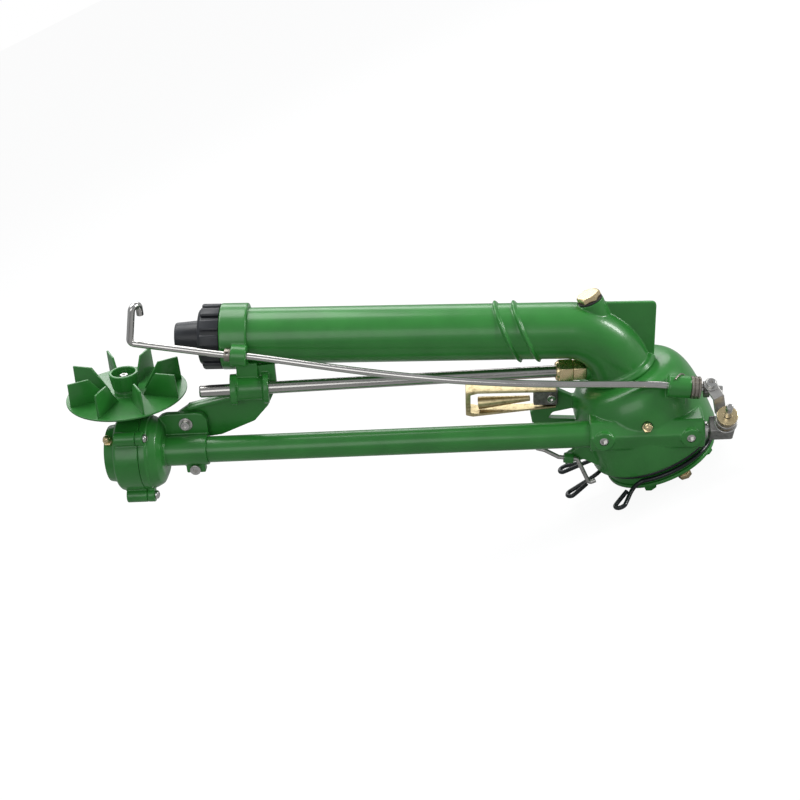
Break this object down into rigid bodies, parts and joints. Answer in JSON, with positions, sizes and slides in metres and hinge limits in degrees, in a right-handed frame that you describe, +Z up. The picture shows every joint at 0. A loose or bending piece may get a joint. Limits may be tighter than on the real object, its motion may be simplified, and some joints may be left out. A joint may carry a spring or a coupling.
{
  "type": "turbine sprinkler",
  "caption": "Turbine-driven rain gun sprinkler: green cast elbow and barrel on a slewing drum, with drive shaft, gearbox, turbine wheel and stop rings.",
  "frame": {"origin": "centre of the inlet hub's lower end face", "axes": "+Z up along the slewing axis; the barrel points to -X and rises; the drive shaft is on the -Y side"},
  "size_m": [0.6872, 0.2087, 0.4531],
  "materials": {
    "green_paint": "gloss enamel",
    "stainless_steel": "drawn and turned",
    "grey_metal": "bare, dull",
    "brass": "turned",
    "bronze": "bare",
    "black_plastic": "moulded",
    "black_wire": "coated wire",
    "rubber": "matt"
  },
  "bodies": {
    "base": {"base_body": "green_paint", "base_plate": "green_paint", "base_bolt_1": "green_paint", "base_bolt_2": "green_paint", "base_bolt_3": "green_paint", "base_bolt_4": "green_paint", "drain_plug": "brass", "ring_gear": "bronze", "slewing_bush": "bronze", "sleeve_nut": "stainless_steel", "water_seal": "rubber"},
    "upper_ring": {"upper_stop_ring": "black_wire"},
    "lower_ring": {"lower_stop_ring": "black_wire"},
    "gun": {"drum_housing": "green_paint", "drum_seal": "rubber", "riser_elbow": "green_paint", "elbow_plug": "brass", "plug_washer": "rubber", "barrel": "green_paint", "flow_straightener": "stainless_steel", "clamp_casting": "green_paint", "nozzle_nut": "black_plastic", "nozzle_cone": "black_plastic", "jet_tube": "stainless_steel", "fitting_body": "brass", "fitting_nut": "brass", "drive_tube": "green_paint", "front_shaft_bush": "bronze", "rear_shaft_bush": "bronze", "gearbox_front": "green_paint", "gearbox_rear_cover": "green_paint", "gearbox_cap": "green_paint", "gearbox_screw_1": "stainless_steel", "gearbox_screw_2": "stainless_steel", "gearbox_screw_3": "stainless_steel", "gearbox_screw_4": "stainless_steel", "ear_screw": "stainless_steel", "gearbox_nipple": "brass", "block_nipple": "brass", "turbine_bush": "bronze", "turbine_seal": "rubber", "boss_spring": "stainless_steel", "spreader_screw": "stainless_steel"},
    "shaft": {"drive_shaft": "stainless_steel", "worm_wheel": "bronze"},
    "turbine": {"turbine_shaft": "stainless_steel", "turbine_wheel": "green_paint", "turbine_screw": "stainless_steel"},
    "strap": {"eccentric_strap": "stainless_steel", "link_stud": "stainless_steel", "link_washer": "brass"},
    "jet_breaker": {"breaker_rod": "stainless_steel", "front_rod_collar": "stainless_steel", "rear_rod_ring": "bronze", "lever_clamp": "grey_metal", "lever_bar": "stainless_steel", "clamp_screw": "stainless_steel"},
    "trip": {"trip_lever": "stainless_steel"},
    "spreader": {"spreader_block": "grey_metal", "spreader_frame": "brass"}
  },
  "joints": [
    {"name": "slew", "type": "hinge", "parent": "base", "child": "gun", "pos_m": [0, 0, 0.1], "axis": [0, 0, 1], "continuous": true},
    {"name": "upper_ring_turn", "type": "hinge", "parent": "base", "child": "upper_ring", "pos_m": [0, 0, 0.0318], "axis": [0, 0, 1], "continuous": true},
    {"name": "lower_ring_turn", "type": "hinge", "parent": "base", "child": "lower_ring", "pos_m": [0, 0, 0.0245], "axis": [0, 0, 1], "continuous": true},
    {"name": "turbine_spin", "type": "hinge", "parent": "gun", "child": "turbine", "pos_m": [-0.54522, -0.01438, 0.29396], "axis": [0.3655, -0.0118, 0.9307], "continuous": true},
    {"name": "shaft_spin", "type": "hinge", "parent": "gun", "child": "shaft", "pos_m": [0, -0.058, 0.0793], "axis": [-0.9303, 0.03, 0.3657], "continuous": true},
    {"name": "strap_turn", "type": "hinge", "parent": "shaft", "child": "strap", "pos_m": [0.07708, -0.06236, 0.0515], "axis": [-0.9303, 0.03, 0.3657], "continuous": true},
    {"name": "breaker_rock", "type": "hinge", "parent": "gun", "child": "jet_breaker", "pos_m": [0.05623, -0.0575, 0.11442], "axis": [-0.8761, 0.0249, 0.4814], "range_deg": [-3, 3]},
    {"name": "trip_swing", "type": "hinge", "parent": "gun", "child": "trip", "pos_m": [-0.094, -0.04, 0.0756], "axis": [0.8523, 0, -0.523], "range_deg": [-12, 12]},
    {"name": "spreader_tilt", "type": "hinge", "parent": "gun", "child": "spreader", "pos_m": [-0.08715, 0.0043, 0.13535], "axis": [0, -1, 0], "range_deg": [-8, 10]}
  ],
  "couplings": [
    {"joint": "shaft_spin", "follows": "turbine_spin", "ratio": 0.04},
    {"joint": "strap_turn", "follows": "turbine_spin", "ratio": -0.04}
  ]
}
